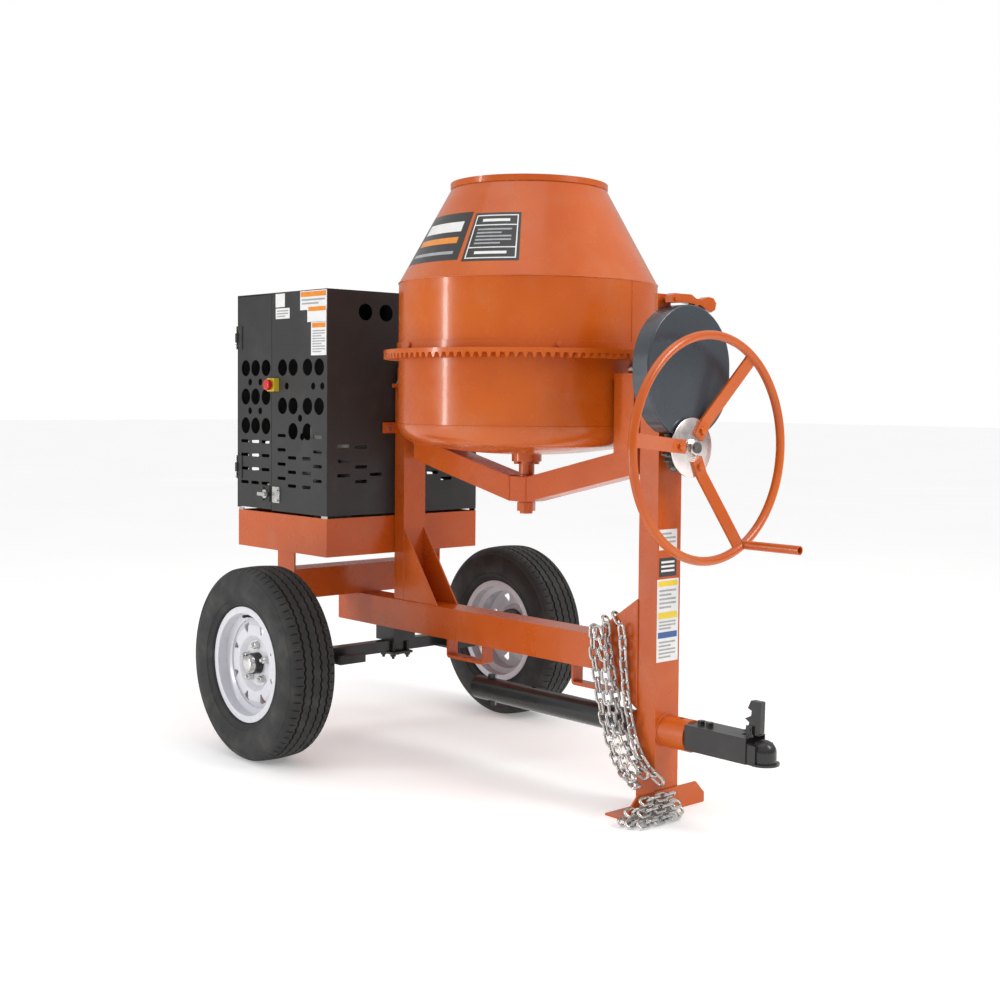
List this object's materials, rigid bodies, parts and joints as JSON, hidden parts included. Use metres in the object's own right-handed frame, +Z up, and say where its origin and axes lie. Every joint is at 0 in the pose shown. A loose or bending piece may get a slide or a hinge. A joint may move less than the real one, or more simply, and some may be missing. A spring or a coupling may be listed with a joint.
{
  "type": "towable concrete mixer",
  "caption": "Towable concrete mixer: tilting steel drum in a yoke with hand wheel gearing, boxed engine housing, two road wheels, tow pole and safety chains.",
  "frame": {"origin": "centre of the object's box at ground level", "axes": "+Z up, +X along the spine towards the tow coupler and hand wheel, +Y towards the far road wheel"},
  "size_m": [2.131, 1.225, 1.794],
  "materials": {
    "frame_orange": "gloss",
    "drum_orange": "gloss",
    "wheel_orange": "gloss",
    "housing_black": "satin",
    "cover_grey": "gloss",
    "axle_black": "satin",
    "tow_black": "gloss",
    "gear_iron": "satin",
    "shaft_steel": "satin",
    "zinc_steel": "satin",
    "tyre_rubber": "matte",
    "rim_white": "gloss",
    "engine_aluminium": "matte",
    "tank_plastic": "satin",
    "muffler_steel": "satin",
    "belt_rubber": "matte",
    "estop_body": "satin",
    "estop_red": "gloss"
  },
  "bodies": {
    "frame": {"spine_beam": "frame_orange", "rear_post": "frame_orange", "rear_gussets": "frame_orange", "front_gussets": "frame_orange", "cross_beam": "frame_orange", "pan_legs": "frame_orange", "engine_pan": "frame_orange", "front_post": "frame_orange", "foot_plate": "frame_orange", "tow_sleeve": "frame_orange", "fork_pockets": "frame_orange", "axle_beam": "axle_black", "axle_saddle": "axle_black", "shaft_bearings": "frame_orange", "gear_cover": "cover_grey", "lock_bracket": "frame_orange", "safety_chains": "zinc_steel", "frame_bolts": "zinc_steel", "housing_end_panels": "housing_black", "housing_top": "housing_black", "housing_side_panels": "housing_black", "housing_spacers": "zinc_steel", "door_hardware": "zinc_steel", "engine_block": "engine_aluminium", "engine_fittings": "engine_aluminium", "fuel_tank": "tank_plastic", "muffler": "muffler_steel", "drive_belt": "belt_rubber", "estop_base": "estop_body"},
    "yoke": {"yoke_bars": "frame_orange", "yoke_uprights": "frame_orange", "yoke_hub": "frame_orange", "trunnions": "shaft_steel", "tilt_gear": "gear_iron"},
    "drum": {"drum_dish": "drum_orange", "drum_cylinder": "drum_orange", "drum_cone": "drum_orange", "ring_gear": "drum_orange", "mixing_blades": "drum_orange", "drum_shaft": "drum_orange"},
    "pinion": {"drive_pinion": "gear_iron", "driven_pulley": "gear_iron"},
    "engine_rotor": {"engine_pulley": "gear_iron"},
    "handwheel": {"handwheel_rim": "wheel_orange", "handwheel_hub": "shaft_steel", "crank_handle": "wheel_orange", "tilt_pinion": "gear_iron"},
    "near_wheel": {"near_tyre": "tyre_rubber", "near_rim": "rim_white", "near_hub": "axle_black"},
    "far_wheel": {"far_tyre": "tyre_rubber", "far_rim": "rim_white", "far_hub": "axle_black"},
    "tow_pole": {"tow_tube": "tow_black", "coupler_body": "tow_black"},
    "coupler_latch": {"coupler_latch": "tow_black"},
    "tilt_lock": {"tilt_lock_lever": "wheel_orange"},
    "estop_button": {"estop_button": "estop_red"},
    "near_door": {"near_door": "housing_black"},
    "door_latch": {"door_latch": "zinc_steel"}
  },
  "joints": [
    {"name": "drum_tilt", "type": "hinge", "parent": "frame", "child": "yoke", "pos_m": [0, 0, 1.234], "axis": [1, 0, 0], "range_deg": [-120, 120]},
    {"name": "drum_spin", "type": "hinge", "parent": "yoke", "child": "drum", "pos_m": [0.0955, 0, 1.234], "axis": [0, 0, 1], "continuous": true},
    {"name": "pinion_spin", "type": "hinge", "parent": "yoke", "child": "pinion", "pos_m": [-0.3255, 0, 1.234], "axis": [1, 0, 0], "continuous": true},
    {"name": "engine_spin", "type": "hinge", "parent": "frame", "child": "engine_rotor", "pos_m": [-0.4605, 0, 0.88], "axis": [1, 0, 0], "continuous": true},
    {"name": "handwheel_turn", "type": "hinge", "parent": "frame", "child": "handwheel", "pos_m": [0.8265, 0, 1.018], "axis": [1, 0, 0], "range_deg": [-275, 275]},
    {"name": "tilt_lock", "type": "hinge", "parent": "frame", "child": "tilt_lock", "pos_m": [0.7175, -0.046, 1.421], "axis": [1, 0, 0], "range_deg": [0, 60]},
    {"name": "near_wheel_spin", "type": "hinge", "parent": "frame", "child": "near_wheel", "pos_m": [-0.5605, -0.5255, 0.305], "axis": [0, 1, 0], "continuous": true},
    {"name": "far_wheel_spin", "type": "hinge", "parent": "frame", "child": "far_wheel", "pos_m": [-0.5605, 0.5255, 0.305], "axis": [0, 1, 0], "continuous": true},
    {"name": "tow_pole_slide", "type": "slide", "parent": "frame", "child": "tow_pole", "axis": [1, 0, 0], "range_m": [0, 0.6]},
    {"name": "coupler_latch", "type": "hinge", "parent": "tow_pole", "child": "coupler_latch", "pos_m": [0.9875, 0, 0.285], "axis": [0, -1, 0], "range_deg": [0, 75]},
    {"name": "estop_press", "type": "slide", "parent": "frame", "child": "estop_button", "axis": [0, 1, 0], "range_m": [0, 0.004], "stiffness_N_per_m": 900},
    {"name": "door_open", "type": "hinge", "parent": "frame", "child": "near_door", "pos_m": [-1.061, -0.321, 1.128], "axis": [0, 0, -1], "range_deg": [0, 110]},
    {"name": "latch_turn", "type": "hinge", "parent": "near_door", "child": "door_latch", "pos_m": [-0.8725, -0.316, 0.815], "axis": [0, 1, 0], "range_deg": [0, 90]}
  ],
  "couplings": [
    {"joint": "pinion_spin", "follows": "drum_spin", "ratio": 12},
    {"joint": "engine_spin", "follows": "drum_spin", "ratio": 45},
    {"joint": "handwheel_turn", "follows": "drum_tilt", "ratio": -2.2727}
  ]
}
